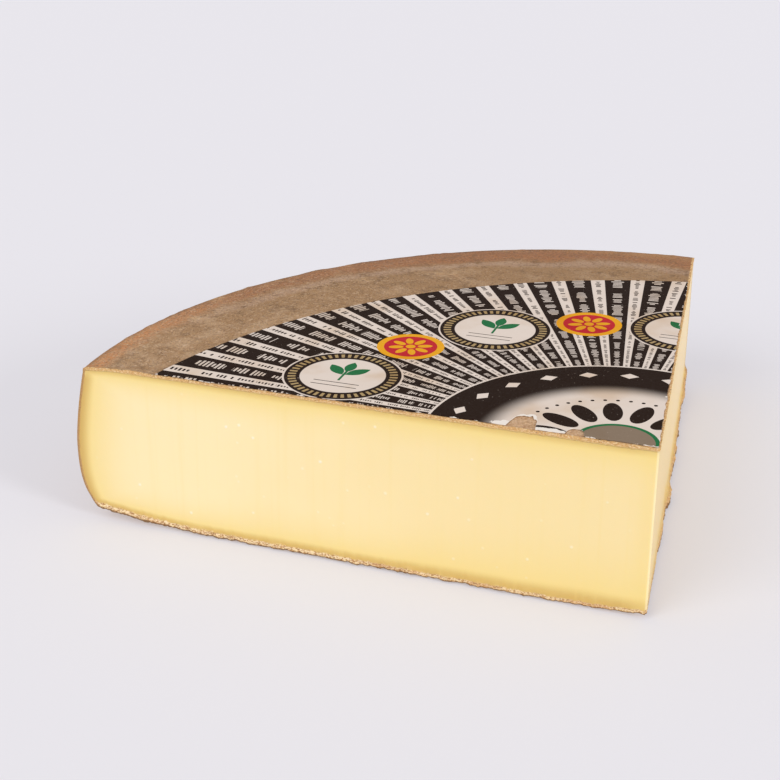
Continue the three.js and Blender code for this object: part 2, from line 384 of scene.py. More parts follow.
def rind_and_depth(place, side, above, below, inside):
    """The share of the rind, and the depth in the paste, from the nearest outer face."""
    inwards = 1 - clamp((place - WHEEL_CENTRE).xy.length / RIM_RADIUS)
    layers = {"top": RIND["top"], "foot": foot_thickness(place, side), "heel": RIND["heel"]}
    distances = {"top": above, "foot": below, "heel": inside}
    shares, depths = [], []
    for name, distance in distances.items():
        thickness = layers[name] * (1 + RIND_GROWTH[name] * inwards)
        shares.append(distance / thickness)
        drying = EDGE_DRYING[name] * (1 + DRYING_GROWTH[name] * inwards**2)
        depths.append((distance - thickness) / drying)
    return min(shares), max(0, min(depths))


print("dents of the heel are up to", HEEL_DENTS[0] / MM, "mm deep")

# %% move every vertex to its place
CUT_BOW = 0.35 * MM
CUT_BOW_SIZE = 110 * MM
EDGE_BAND = 1 * MM
FOOT_BAND = 14 * MM
CRAG_SHARE = 0.4

depth = body.verts.layers.float.new("depth")
rind_layer = body.verts.layers.float.new("rind")
for vertex in body.verts:
    rim_point = Vector((vertex.co.x, vertex.co.y, 0))
    down = 1 - vertex.co.z / THICKNESS
    side, outward = side_of(rim_point)
    place = swollen(rim_point, side, heel_swell(down))
    top, foot = upper_height(rim_point), lower_height(rim_point)
    place.z = top + (foot - top) * down
    above, below = top - place.z, place.z - foot
    raised = foot_lump(rim_point) * clamp(1 - below / FOOT_BAND)
    raised += edge_lump(rim_point) * clamp(1 - above / EDGE_BAND)
    if side == "heel":
        place += outward * heel_relief(place, down)
    else:
        inside = RIM_RADIUS + heel_swell(down) - (place - WHEEL_CENTRE).xy.length
        broken = crag(place, side, above, below)
        share, vertex[depth] = rind_and_depth(place, side, above, below, inside)
        vertex[rind_layer] = max(0, share - CRAG_SHARE * broken / RIND["foot"])
        place += outward * (CUT_BOW * uneven(place, CUT_BOW_SIZE, 2) + broken)
    place.z += raised
    vertex.co = place
print("deepest paste:", round(max(vertex[depth] for vertex in body.verts) / MM, 1), "mm in")

# %% [markdown]
# ## The two faces
#
# The prism's end faces are closed with rings, one extrusion after the other, each one shrunk
# towards the middle of the face. An inset would keep the rings evenly wide, but over these many
# small edges it folds at the corners. Each ring is then lifted to the face's height. The bare
# rind has relief as well, but under the label the face has to stay smooth.

# %% ring by ring to the middle
RING_SHARES = [0.997, 0.993, 0.988, 0.98, 0.97, 0.96, 0.945, 0.93, 0.91, 0.89, 0.87, 0.85, 0.82]
INNER_SHARES = [0.78, 0.75, 0.72, 0.68, 0.64, 0.6, 0.5, 0.35, 0.15]
LABEL_CENTRE = Vector((33, -70, 0)) * MM
LABEL_RADIUS = 358.7 * MM
LABEL_SURROUND = (0.5 * MM, 9 * MM)
FACE_RELIEF = [(0.9 * MM, 38 * MM, 2), (0.35 * MM, 11 * MM, 3), (0.22 * MM, 3.5 * MM, 2)]


def outside_label(point):
    """1 on the bare rind of the upper face, 0 under the label and a little way round it."""
    beyond = (point.xy - LABEL_CENTRE.xy).length - LABEL_RADIUS
    return smooth_step(beyond, *LABEL_SURROUND)


def rind_relief(point):
    """The low waves, ridges and grains of a rind that was turned and brushed for months."""
    return sum(bumps(Vector((point.x, point.y, 0.3)), *layer) for layer in FACE_RELIEF)


def close_with_rings(mesh, face, height_of):
    """Fills a face with shrinking rings, lifts each one to its height, and closes the middle."""
    to_middle = Matrix.Translation(-FACE_MIDDLE)
    size = 1.0
    for ring_share in RING_SHARES + INNER_SHARES:
        filled, face = face, extruded(mesh, face)
        bmesh.ops.delete(mesh, geom=[filled], context="FACES_ONLY")
        scale = ring_share / size
        bmesh.ops.scale(mesh, vec=(scale, scale, 1), space=to_middle, verts=face.verts)
        size = ring_share
        for vertex in face.verts:
            vertex.co.z = height_of(vertex.co)
    bmesh.ops.poke(mesh, faces=[face])


def upper_surface(point):
    """The height of the upper face, with its relief."""
    rough = rind_relief(point) * outside_label(point)
    return upper_height(point) + rough + edge_lump(point)


def lower_surface(point):
    """The height of the lower face, with its lumps."""
    flat = Vector((point.x, point.y, 0))
    return lower_height(flat) + foot_lump(flat)


close_with_rings(body, upper_face, upper_surface)
close_with_rings(body, lower_face, lower_surface)
bmesh.ops.recalc_face_normals(body, faces=body.faces)
bmesh.ops.translate(body, vec=TIP, verts=body.verts)
print("closed with", len(RING_SHARES + INNER_SHARES), "rings on each face")

# %% [markdown]
# ## Onto the frame
#
# A bmesh is only in memory. To be seen it is written into mesh data, which an object then shows.
# Two calls tie that to the frame: it rides on the frame's one body, and it stands for the node
# of the same piece, which is hidden.


# %% one object for each piece
def shown(name, data):
    """An object in the scene that shows some data."""
    thing = bpy.data.objects.new(name, data)
    bpy.context.scene.collection.objects.link(thing)
    return thing


def mesh_object(mesh, name):
    """Writes a bmesh into mesh data, which an object then shows."""
    data = bpy.data.meshes.new(name)
    mesh.to_mesh(data)
    mesh.free()
    print(name, "has", len(data.vertices), "vertices and", len(data.polygons), "faces")
    return shown(name, data)


def finished_piece(mesh, name, node):
    """A smooth object that rides on the frame and stands for one of its nodes."""
    piece = mesh_object(mesh, name)
    piece.data.shade_smooth()
    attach(piece, "root")
    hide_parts(node)
    return piece


cheese = finished_piece(body, "cheese_wedge", "cheese")

# %% [markdown]
# ## The label
#
# The paper was pasted on the whole wheel and cut through with it, so its edges along the cuts
# are frayed, and at the front two bits have torn off with the wire. Its far edge is a smooth
# arc. It is a flat shape, so it starts as an outline too, becomes a thin prism, and is turned to
# lie on the sloping face. The fray and the tears move the vertices of the near edges only.

# %% cut the label
LABEL_THICKNESS = 0.3 * MM
LABEL_GAP = 0.35 * MM
LABEL_MARGIN = 0.4 * MM
LABEL_FRAY = 1.3 * MM
LABEL_FRAY_SIZE = 7 * MM
LABEL_STEP = 0.9 * MM
TEAR_WANDER = (1.8 * MM, 5 * MM, 3)
TEAR_ROUGHNESS = (0.25, 4 * MM, 3)
TEARS = [
    {"at": -82 * MM, "width": 17 * MM, "depth": 19 * MM},
    {"at": -50 * MM, "width": 11 * MM, "depth": 9 * MM},
]


def tear_depth(along):
    """How deep the front edge is torn away at a place along the front cut."""
    wander = bumps(Vector((along, 0, 0)), *TEAR_WANDER)
    across = [(along + wander - tear["at"]) / (tear["width"] / 2) for tear in TEARS]
    hollows = [tear["depth"] * max(0, 1 - away**4) ** 0.6 for tear, away in zip(TEARS, across)]
    return max(hollows) * (0.9 + bumps(Vector((along, 1, 0)), *TEAR_ROUGHNESS))


def fray(point):
    """How far the paper's frayed edge lies inside a cut."""
    lumps = share_of(Vector((point.x, point.y, 2)), LABEL_FRAY_SIZE, 4)
    return LABEL_MARGIN + LABEL_FRAY * lumps


def label_outline(mesh, step):
    """Both cut edges in short steps, and the smooth far arc in longer ones."""
    near, far = FRONT_CUT * label_reaches[0], RIGHT_CUT * label_reaches[1]
    corner = Vector((0, 0, 0))
    straight(mesh, near, corner, step)
    straight(mesh, corner, far, step)
    arc(mesh, far, near, LABEL_CENTRE, 3 * step)
    bmesh.ops.remove_doubles(mesh, verts=mesh.verts, dist=step / 10)


def fray_cuts(mesh):
    """Draws the label's near edges in from the cuts, unevenly, and deep at the tears."""
    for vertex in mesh.verts:
        plan = vertex.co.copy()
        if plan.y < ON_LINE:
            vertex.co.y += fray(plan) + tear_depth(plan.x)
        if plan.dot(RIGHT_OUT) > -ON_LINE:
            vertex.co -= RIGHT_OUT * fray(plan)


label_reaches = [cut_length(cut, LABEL_RADIUS, LABEL_CENTRE) for cut in (FRONT_CUT, RIGHT_CUT)]
print("the label reaches", [round(reach / MM) for reach in label_reaches], "mm along the cuts")

# %% lay it on the face
paper = bmesh.new()
label_outline(paper, LABEL_STEP)
fray_cuts(paper)
prism(paper, LABEL_THICKNESS)
level_line = Vector((-BISECTOR.y, BISECTOR.x, 0))
turn_down = Matrix.Rotation(atan(FACE_SLOPE), 3, level_line)
bmesh.ops.rotate(paper, matrix=turn_down, verts=paper.verts)
bmesh.ops.translate(paper, vec=TIP + Vector((0, 0, THICKNESS + LABEL_GAP)), verts=paper.verts)
bmesh.ops.triangulate(paper, faces=[face for face in paper.faces if len(face.verts) > 4])
bmesh.ops.recalc_face_normals(paper, faces=paper.faces)
label = finished_piece(paper, "paper_label", "label")
label.data.shade_flat()

# %% [markdown]
# ## Shader maths
#
# A material in Blender is a graph of nodes. Written out, its sums fill pages, so a small class
# wraps a socket and lets Python's own signs add the Math nodes: `1 - mask` or `radius / 5`.
# Every other kind of node comes from `node`, which takes the type, the settings and then what
# goes into the sockets. A wire knows its tree, so most helpers only have to be given wires.


# %% sockets that can be used in sums
def sign(operation, turned=False):
    """A method for a wire that adds a Math node, with the wire second if it is turned."""

    def method(self, other):
        values = (other, self) if turned else (self, other)
        return node(self.tree, "ShaderNodeMath", {"operation": operation}, *values)

    return method


class Wire:
    """One output socket of a node, with Python's signs for the Math nodes."""

    def __init__(self, tree, socket):
        self.tree = tree
        self.socket = socket

    def maths(self, operation, *others):
        """Any other Math node, with this socket first."""
        return node(self.tree, "ShaderNodeMath", {"operation": operation}, self, *others)

    def output(self, name):
        """Another output of the same node, by its name or its place."""
        return Wire(self.tree, self.socket.node.outputs[name])

    def __abs__(self):
        return self.maths("ABSOLUTE")

    __add__ = __radd__ = sign("ADD")
    __sub__ = sign("SUBTRACT")
    __rsub__ = sign("SUBTRACT", turned=True)
    __mul__ = __rmul__ = sign("MULTIPLY")
    __truediv__ = sign("DIVIDE")
    __rtruediv__ = sign("DIVIDE", turned=True)
    __pow__ = sign("POWER")
    __lt__ = sign("LESS_THAN")
    __gt__ = sign("GREATER_THAN")


def plug(tree, slot, value):
    """Links a wire into a socket, or sets the socket to a plain value."""
    if isinstance(value, Wire):
        tree.links.new(value.socket, slot)
    else:
        slot.default_value = value


def node(tree, kind, settings=None, *values, **named):
    """Adds a node: its settings first, then its sockets, by place or by name. None skips one."""
    made = tree.nodes.new(kind)
    for setting, value in (settings or {}).items():
        setattr(made, setting, value)
    for slot, value in zip(made.inputs, values):
        if value is not None:
            plug(tree, slot, value)
    for name, value in named.items():
        plug(tree, made.inputs[name.replace("_", " ")], value)
    return Wire(tree, made.outputs[0]) if made.outputs else None


# %% colours and how they are laid over one another
def colour(red, green, blue):
    """An sRGB colour of 0 to 255 as the linear colour that shaders work in."""
    shares = [value / 255 for value in (red, green, blue)]
    linear = [x / 12.92 if x <= 0.04045 else ((x + 0.055) / 1.055) ** 2.4 for x in shares]
    return (*linear, 1.0)


def blend(mask, below, above, mode="MIX"):
    """Lays one colour over another where the mask is 1."""
    settings = {"data_type": "RGBA", "blend_type": mode}
    skipped = [None] * 5
    return node(mask.tree, "ShaderNodeMix", settings, mask, *skipped, below, above).output(2)


def layered(ground, *layers):
    """Lays colours over a ground, one after the other, each with a mask of its own."""
    for mask, above in layers:
        ground = blend(mask, ground, above)
    return ground


# %% places, distances and noise
def ramp(value, low, high, first=0.0, last=1.0, kind="SMOOTHSTEP"):
    """Turns a stretch of one value into a stretch of another, level at both ends."""
    setting = {"interpolation_type": kind}
    return node(value.tree, "ShaderNodeMapRange", setting, value, low, high, first, last)


def moved(place, offset=(0, 0, 0), scale=(1, 1, 1)):
    """Places that are scaled and then moved."""
    return node(place.tree, "ShaderNodeMapping", {}, place, offset, (0, 0, 0), scale)


def axis_of(place, axis):
    """One coordinate of a place."""
    return node(place.tree, "ShaderNodeSeparateXYZ", {}, place).output(axis)


def length_of(place):
    """How far a place is from zero."""
    return node(place.tree, "ShaderNodeVectorMath", {"operation": "LENGTH"}, place).output("Value")


def grainy(place, size, detail=2.0, roughness=0.5, offset=None):
    """Noise between 0 and 1, with bumps of about the given size, in the unit of the place."""
    if offset:
        place = moved(place, offset)
    named = {"Scale": 1 / size, "Detail": detail, "Roughness": roughness}
    return node(place.tree, "ShaderNodeTexNoise", {}, place, **named)


def from_line(place, middle):
    """Distance from an upright line through a place of the plan."""
    return length_of(moved(place, offset=tuple(-(TIP + middle)), scale=(1, 1, 0)))


def from_cuts(place):
    """How far a point is along the front cut, behind it, and inside the right cut."""
    x, y = axis_of(place, "X") - TIP.x, axis_of(place, "Y") - TIP.y
    return x, y, x * -RIGHT_OUT.x + y * -RIGHT_OUT.y


def polar(place, centre):
    """Millimetres from a centre, and the angle in degrees from -X towards +Y."""
    scale = 1 / MM
    offset = (-centre.x * scale, -centre.y * scale, 0)
    flat = moved(place, offset=offset, scale=(scale, scale, 0))
    across, along = axis_of(flat, "X"), axis_of(flat, "Y")
    angle = along.maths("ARCTAN2", 0 - across) * degrees(1)
    return across, along, length_of(flat), angle


# %% a material and its shader
def new_material(name, piece):
    """An empty material on a piece. Returns its node tree and the place of each point."""
    material = bpy.data.materials.new(name)
    material.use_nodes = True
    material.node_tree.nodes.clear()
    piece.data.materials.append(material)
    tree = material.node_tree
    return tree, node(tree, "ShaderNodeTexCoord", {}).output("Object")


def surface(tree, **sockets):
    """The shader itself, with a plain value or a wire for each socket that is named."""
    shader = node(tree, "ShaderNodeBsdfPrincipled", {}, **sockets)
    node(tree, "ShaderNodeOutputMaterial", {}, shader)
    print("material with", len(tree.nodes), "nodes")


# %% [markdown]
# ## The paste
#
# Cheese paste isn't one yellow. In the middle of the piece it is pale and creamy, and over the
# last two centimetres before the rind, where it has dried, it turns deeper and a little brown.
# Towards the tip a painted shade makes it darker and warmer, and a painted highlight runs along
# the tip's rounded edge. The right cut is given a darker, warmer colour all over. The wire
# leaves faint upright streaks, and small white crystals are scattered through the paste, but not
# close to the rind. One noise can't do all of this, so the colours go on as layers, each with a
# mask that says where it is.

# %% colours of the paste
PASTE_MIDDLE = colour(251, 231, 180)
PASTE_PAINTED_SHADE = colour(245, 222, 164)
PASTE_OUTER = colour(242, 216, 137)
PASTE_DRY = colour(210, 174, 98)
PASTE_PAINTED_HIGHLIGHT = colour(255, 242, 206)
PASTE_RIGHT_CUT = colour(230, 184, 92)
CRYSTAL = colour(255, 250, 232)

CLOUD_SIZE = 90 * MM
PAINTED_SHADE_WANDER = 120 * MM
PAINTED_SHADE_RADIUS = (250 * MM, 60 * MM)
DRIED_DEPTH = (24 * MM, 1.5 * MM)
DRY_DEPTH = (4.5 * MM, 0)
UNDER_TOP = (THICKNESS - 14 * MM, THICKNESS - 9 * MM)
TIP_DRIED = (16 * MM, 3 * MM)
TIP_LIT = (1.6 * MM, 0.7 * MM)
STREAK_WIDTH = 4 * MM
STREAK_SCALE = (1, 1, 0.02)
CRYSTAL_SPACING = 9 * MM
CRYSTAL_DEPTH = (2 * MM, 8 * MM)
print("the paste dries over", DRIED_DEPTH[0] / MM, "mm")


# %% the finish of the paste
def cells(place, size):
    """Distance to the middle of the nearest cell, in cells of about the given size."""
    return node(place.tree, "ShaderNodeTexVoronoi", {}, place, Scale=1 / size)


def crystal_spots(place, deep):
    """Pale spots in some cells of a pattern, and specks for the crust in a few."""
    crystal = cells(place, CRYSTAL_SPACING)
    luck = node(place.tree, "ShaderNodeSeparateColor", {}, crystal.output("Color"))
    spots = ramp(crystal, 0.17, 0.04) * ramp(luck, 0.4, 0.95) * ramp(deep, *CRYSTAL_DEPTH)
    return spots, ramp(crystal, 0.18, 0.1) * (luck < 0.1)


def paste_finish(place, deep, spots, is_right):
    """Deeper and browner towards the rind, with wire streaks and crystals. Colour and relief."""
    cloudy = grainy(place, CLOUD_SIZE)
    radius = from_line(place, WHEEL_CENTRE)
    wavering = deep * (0.7 + 0.6 * cloudy)
    near_top = ramp(axis_of(place, "Z"), *UNDER_TOP)
    from_tip = from_line(place, Vector((0, 0, 0)))
    streaks = grainy(moved(place, scale=STREAK_SCALE), STREAK_WIDTH, 3.0)
    paste = layered(
        PASTE_MIDDLE,
        # Painted shade: the paste turns darker and warmer towards the tip.
        (ramp(radius + (cloudy - 0.5) * PAINTED_SHADE_WANDER, *PAINTED_SHADE_RADIUS), PASTE_PAINTED_SHADE),
        (ramp(wavering, *DRIED_DEPTH, kind="LINEAR") ** 2, PASTE_OUTER),
        (ramp(wavering, *DRY_DEPTH) * (1 - near_top * 0.4), PASTE_DRY),
        (ramp(from_tip, *TIP_DRIED) * 0.4, PASTE_OUTER),
        # The right cut's paste is made darker and warmer all over.
        (is_right * 0.35, PASTE_RIGHT_CUT),
        # Painted highlight: a paler band along the rounded edge of the tip.
        (ramp(from_tip, *TIP_LIT) * 0.4, PASTE_PAINTED_HIGHLIGHT),
        (ramp(streaks, 0.5, 0.8) * 0.2, PASTE_OUTER),
        (spots * 0.55, CRYSTAL),
    )
    return paste, streaks * 0.05 + spots * 0.2


# %% [markdown]
# ## The rind
#
# A rind is built up in layers on the shelf, and so it is here. The upper face has a grey-brown
# ground, mottled by damp. A pale worn line runs round it, and the shoulder outside that line is
# ruddy and stippled, with a golden far corner. Where the label is torn, the skin of the rind has
# gone with it. The heel is golden tan with rusty strands, from noise that is stretched along the
# way that the wheel was brushed. Fine flecks go over all of it.

# %% colours of the rind
RIND_GREY = colour(184, 152, 118)
RIND_BROWN = colour(162, 127, 90)
RIND_TAN = colour(212, 170, 120)
RIND_OCHRE = colour(192, 146, 94)
RIND_MAUVE = colour(190, 160, 140)
RIND_GOLDEN = colour(190, 146, 106)
RIND_RUDDY = colour(146, 98, 68)
RIND_FRESH = colour(224, 188, 148)
RIND_FRESH_DARK = colour(166, 120, 80)
RIND_RUSTY = colour(198, 132, 80)
RIND_DARK = colour(110, 84, 58)
RIND_BLOOM = colour(220, 190, 158)

WORN_CENTRE = WHEEL_CENTRE + Vector((-6, -16, 0)) * MM
WORN_RADIUS = RIM_RADIUS - 18 * MM
WORN_WANDER = 16 * MM
OUTSIDE_WORN = (-6 * MM, 7 * MM)
STIPPLE_SIZE = 2.4 * MM
FAR_RIND = (-125 * MM, -10 * MM)
FAR_CORNER = (140 * MM, 172 * MM)
AWAY = (0, 120 * MM)
RIM_BAND = (RIM_RADIUS - 6 * MM, RIM_RADIUS)
SHOULDER_BAND = (THICKNESS - 14 * MM, THICKNESS - 6 * MM)
print("the worn line runs", round((RIM_RADIUS - WORN_RADIUS) / MM), "mm inside the rim")


# %% the finish of the upper face
def face_rind(place, mottle, patch):
    """Grey-brown, with a pale worn line and, outside it, a ruddy stippled shoulder."""
    back = axis_of(place, "Y")
    # Towards the back the rind turns browner, ruddier and darker: partly its own colour, partly
    # painted shade.
    far, corner = ramp(back, *FAR_RIND), ramp(back, *FAR_CORNER)
    wander = (grainy(place, 75 * MM, 1.0) + mottle - 1) * WORN_WANDER
    worn = from_line(place, WORN_CENTRE) + wander - WORN_RADIUS
    outer = ramp(worn, *OUTSIDE_WORN)
    pale_line = ramp(abs(worn + 8 * MM), 8 * MM, 1 * MM) * ramp(patch, 0.3, 0.45)
    rim = ramp(from_line(place, WHEEL_CENTRE), *RIM_BAND)
    return layered(
        RIND_GREY,
        (ramp(mottle, 0.38, 0.6) + far * 0.5, RIND_BROWN),
        (outer * 0.85, blend(far, RIND_GOLDEN, RIND_RUDDY)),
        (ramp(patch, 0.5, 0.34) * 0.5 + far * 0.1, RIND_DARK),
        (outer * ramp(cells(place, STIPPLE_SIZE), 0.3, 0.6) * (0.75 - far * 0.45), RIND_RUSTY),
        (pale_line * far * 0.4, RIND_MAUVE),
        (rim * 0.5, RIND_DARK),
        (corner * ramp(mottle, 0.35, 0.55) * 0.6, RIND_OCHRE),
    )


def torn_rind(place):
    """Where the label has taken the skin of the rind with it: crumbly, with no bloom."""
    crumbs = grainy(place, 2 * MM, 3.0, 0.6, offset=(5, 0, 1))
    patch = grainy(place, 9 * MM, offset=(1, 4, 1))
    crumbs = ramp(crumbs, 0.35, 0.65) * 0.7 + ramp(patch, 0.35, 0.65) * 0.3
    is_torn = ramp(from_line(place, LABEL_CENTRE), LABEL_RADIUS, LABEL_RADIUS - 3 * MM)
    return is_torn, blend(crumbs, RIND_FRESH_DARK, RIND_FRESH)


# %% the finish of the heel, and both together
def brushed(place, squeeze):
    """Places in millimetres, squeezed along the way that the rind was brushed."""
    _, _, radius, angle = polar(place, TIP + WHEEL_CENTRE)
    height = axis_of(place, "Z") / MM
    return node(place.tree, "ShaderNodeCombineXYZ", {}, radius, angle * squeeze, height)


def heel_rind(place, mottle, patch, grain):
    """Golden tan with long rusty strands and fine grain, and pale bloom in broad patches."""
    strands = grainy(brushed(place, 1.1), 7.0, 4.0, 0.6)
    bloom = grainy(place, 60 * MM, 4.0, 0.6, offset=(2, 0, 3))
    pale = blend(ramp(patch, 0.4, 0.6), RIND_MAUVE, RIND_BLOOM)
    return layered(
        RIND_TAN,
        (ramp(mottle, 0.35, 0.65), RIND_OCHRE),
        (ramp(strands, 0.5, 0.66) * 0.75, RIND_RUSTY),
        (ramp(grain, 0.5, 0.66) * 0.6, RIND_BLOOM),
        (ramp(patch, 0.44, 0.3) * 0.3, RIND_DARK),
        (ramp(bloom, 0.52, 0.62) * 0.65, pale),
    )


def rind_colour(place, grain, mottle):
    """Both kinds of rind, the heel's below the shoulder, under the same fine flecks."""
    patch = grainy(place, 8 * MM, 4.0, 0.65, offset=(3, 1, 2))
    strands = grainy(brushed(place, 2.4), 2.2, 4.0, 0.7)
    fine = grainy(place, 0.9 * MM, 2.0, 0.6, offset=(4, 2, 0))
    is_face = ramp(axis_of(place, "Z") + (mottle - 0.5) * 20 * MM, *SHOULDER_BAND)
    away = ramp(axis_of(place, "Y"), *AWAY)
    fleck = ramp(strands, 0.5, 0.66) * ramp(grain, 0.4, 0.6)
    is_torn, torn = torn_rind(place)
    return layered(
        heel_rind(place, mottle, patch, grain),
        (is_face, face_rind(place, mottle, patch)),
        (fleck * (0.55 - away * is_face * 0.4), RIND_BLOOM),
        (ramp(fine, 0.53, 0.66) * (0.5 - away * 0.4), RIND_TAN),
        (ramp(strands, 0.46, 0.34) * 0.45, RIND_BROWN),
        (ramp(grain, 0.46, 0.32) * (0.4 + is_face * 0.25), RIND_DARK),
        (is_torn * is_face * 0.8, torn),
    )


# %% [markdown]
# ## The broken edge
#
# Seen from a cut, the rind is a thin crust. Along the foot it has cream crumbs over a dark line,
# and ruddy stretches; the dark line is partly the rind's darker skin and partly painted shadow
# under the foot. At the top it is tan, and along the heel browner. The `rind` share says how
# far through the crust a point is. Alone it would draw even bands, so noise is added to it
# wherever a border has to be ragged.

# %% colours of the crust
CRUST_PALE = colour(248, 224, 180)
CRUST_BROWN = colour(190, 145, 98)
CRUST_HEEL = colour(184, 140, 90)
CRUST_INNER = colour(208, 162, 100)
CRUST_RUDDY = colour(200, 146, 100)
CRUST_TOP = colour(208, 162, 104)
CRUST_TOP_INNER = colour(224, 184, 118)
CRUST_DARK = colour(112, 78, 50)

CRUMB_SIZE = 0.9 * MM
CRUMB_SCALE = (0.6, 0.6, 1)
STRETCH_SIZE = 34 * MM
TOP_HALF = (0.4 * THICKNESS, 0.6 * THICKNESS)
HEEL_CRUST = (318 * MM, RIM_RADIUS)
BELOW_SHOULDER = (THICKNESS - 3 * MM, THICKNESS - 8 * MM)
BROWNED_RADIUS = (220 * MM, 40 * MM)
print("crumbs of", CRUMB_SIZE / MM, "mm")


# %% the finish of the broken edge
def crust_colour(place, grain, share, specks, is_right):
    """The broken edge of the rind. At the foot it is cream over a dark line."""
    squeezed = moved(place, offset=(1, 2, 0), scale=CRUMB_SCALE)
    crumbs = grainy(squeezed, CRUMB_SIZE, 3.0, 0.7)
    stretches = grainy(place, STRETCH_SIZE, offset=(2, 5, 0))
    ragged = share + (crumbs - 0.5) * 0.5
    height = axis_of(place, "Z")
    reach = from_line(place, WHEEL_CENTRE)
    is_top = ramp(height, *TOP_HALF)
    is_heel = ramp(reach, *HEEL_CRUST) * ramp(height, *BELOW_SHOULDER)
    browned = (ramp(reach, *BROWNED_RADIUS) * 0.2).maths("MAXIMUM", is_right * 0.7)
    foot = layered(
        CRUST_BROWN,
        (ramp(crumbs, 0.44, 0.55), CRUST_PALE),
        (ramp(stretches, 0.5, 0.62) * 0.45, CRUST_RUDDY),
        (browned, CRUST_INNER),
        (ramp(ragged, 0.6, 0.3) * 0.3, CRUST_INNER),
        # The very bottom of the crust turns dark: partly the rind's darker skin, partly painted
        # shadow under the foot.
        (ramp(ragged, 0.25, 0.13) * 0.8, CRUST_DARK),
    )
    top = blend(ramp(share, 0.25, 0.8), CRUST_TOP, CRUST_TOP_INNER)
    return layered(
        foot,
        (is_top, blend(ramp(crumbs, 0.48, 0.62) * 0.55, top, CRUST_PALE)),
        (is_heel * 0.85, CRUST_HEEL),
        (ramp(crumbs, 0.42, 0.32) * (0.6 - is_top * 0.1 + is_right * 0.3), CRUST_DARK),
        (ramp(grain, 0.38, 0.28) * 0.6, CRUST_DARK),
        (specks, CRUST_DARK),
    )


# %% [markdown]
# ## Paste, rind and crust in one material
#
# Three materials on three sets of faces would be simpler, but their borders would follow the
# edges of the mesh. So one material mixes all three by the `rind` share with noise in it. Light
# goes a little way into the cheese, which is what subsurface scattering is for.

# %% the finish of the whole piece
RIGHT_BAND = (4 * MM, 1 * MM)
BEHIND_FRONT = (1 * MM, 6 * MM)
FACE_EDGE = (0.6 * MM, 1.4 * MM)

tree, place = new_material("cheese_paste_and_rind", cheese)
deep = node(tree, "ShaderNodeAttribute", {"attribute_name": "depth"}).output("Fac")
share = node(tree, "ShaderNodeAttribute", {"attribute_name": "rind"}).output("Fac")
grain = grainy(place, 1.6 * MM, 3.0, 0.6)
mottle = grainy(place, 24 * MM, 4.0, 0.6)
_, from_front, from_right = from_cuts(place)
is_right = ramp(from_front, *BEHIND_FRONT) * ramp(from_right, *RIGHT_BAND)
spots, specks = crystal_spots(place, deep)
paste, paste_relief = paste_finish(place, deep, spots, is_right)
crust = crust_colour(place, grain, share, specks, is_right)
is_paste = ramp(share + (grainy(place, 2.2 * MM, 3.0) - 0.5) * 0.8, 0.75, 1.25)
from_cut = from_front.maths("MINIMUM", from_right) + (grain - 0.5) * 4 * MM
is_rind = ramp(share, 0.3, 0.1) * ramp(from_cut, *FACE_EDGE)
skin = blend(is_rind, crust, rind_colour(place, grain, mottle))
relief = blend(is_paste, grain * 0.8 + mottle * 0.4, paste_relief)
surface(
    tree,
    Base_Color=blend(is_paste, skin, paste),
    Roughness=ramp(is_paste, 0, 1, 0.85, 0.34),
    Normal=node(tree, "ShaderNodeBump", {}, Strength=0.7, Distance=1 * MM, Height=relief),
    Specular_IOR_Level=0.3,
    Subsurface_Weight=0.1,
    Subsurface_Radius=(1.0, 0.7, 0.3),
    Subsurface_Scale=5 * MM,
)

# %% [markdown]
# ## The print on the label
#
# A picture of a label would need an image file, so the print is drawn with distances and angles
# about one point near the tip. The angle decides between dark sectors and cream strips, and the
# radius between the sectors, the dark ring and the cream middle. Rows of short bars stand where
# a label carries small print. Places are turned into millimetres first, as on a ruler.

# %% colours of the print
INK = colour(40, 26, 17)
PAPER = colour(228, 214, 200)
PAPER_FIBRE = colour(240, 232, 220)
PAPER_STAIN = colour(232, 212, 184)
OLD_GOLD = colour(176, 150, 104)
LEAF_GREEN = colour(38, 112, 66)
EARTH = colour(138, 120, 100)
SEAL_RED = colour(194, 42, 50)
SEAL_YELLOW = colour(234, 168, 32)
RING_CENTRE = TIP + Vector((-25.1, -0.5, 0)) * MM
print("the print turns about a point", round((RING_CENTRE - TIP).length / MM), "mm from the tip")


# %% small shapes in millimetres
def within(value, low, high):
    """1 between two values, with edges as soft as ink on paper."""
    soft = 0.15
    return ramp(value, low - soft, low + soft) * ramp(value, high + soft, high - soft)


def repeated(value, period):
    """Where a value is inside its repeat, from 0 to 1, and the repeat's number."""
    share = value / period
    number = share.maths("FLOOR")
    return share - number, number


def oval(across, away, half_across, half_away):
    """1 inside an oval, from the two distances to its middle and its half sizes."""
    return (across / half_across) ** 2 + (away / half_away) ** 2 < 1


def chance(first, second):
    """A number from 0 to 1 that is the same for the same pair of numbers."""
    pair = node(first.tree, "ShaderNodeCombineXYZ", {}, first, second)
    return node(first.tree, "ShaderNodeTexWhiteNoise", {"noise_dimensions": "3D"}, pair)


def small_print(along, across, row, pitch, word, height):
    """A row of short upright bars in groups, as small print looks from a step away."""
    in_bar, bar = repeated(along, pitch)
    in_word, group = repeated(along, word)
    draw = chance(bar, row)
    tall = height * (0.35 + 0.65 * draw) * (draw > 0.1)
    filled = 0.62 + 0.28 * chance(group, row + 7)
    return (abs(across) < tall) * (in_bar < 0.58) * (in_word < filled)


# %% the striped field, the dark ring and the cream middle
SECTOR = 6.0
FIRST_STRIP = 1.75
STRIP_WIDTH = 2.1
RING_RADIUS = 113.5
RING_LINE = 1.6
FADE_RADIUS = 74.0
CORE_RADIUS = 25.0
CORE_LINE = 2.6
LIGHT_PRINT = {"pitch": 1.15, "word": 13.0, "height": 1.05}
DARK_PRINT = {"pitch": 1.1, "word": 6.6, "height": 0.5}


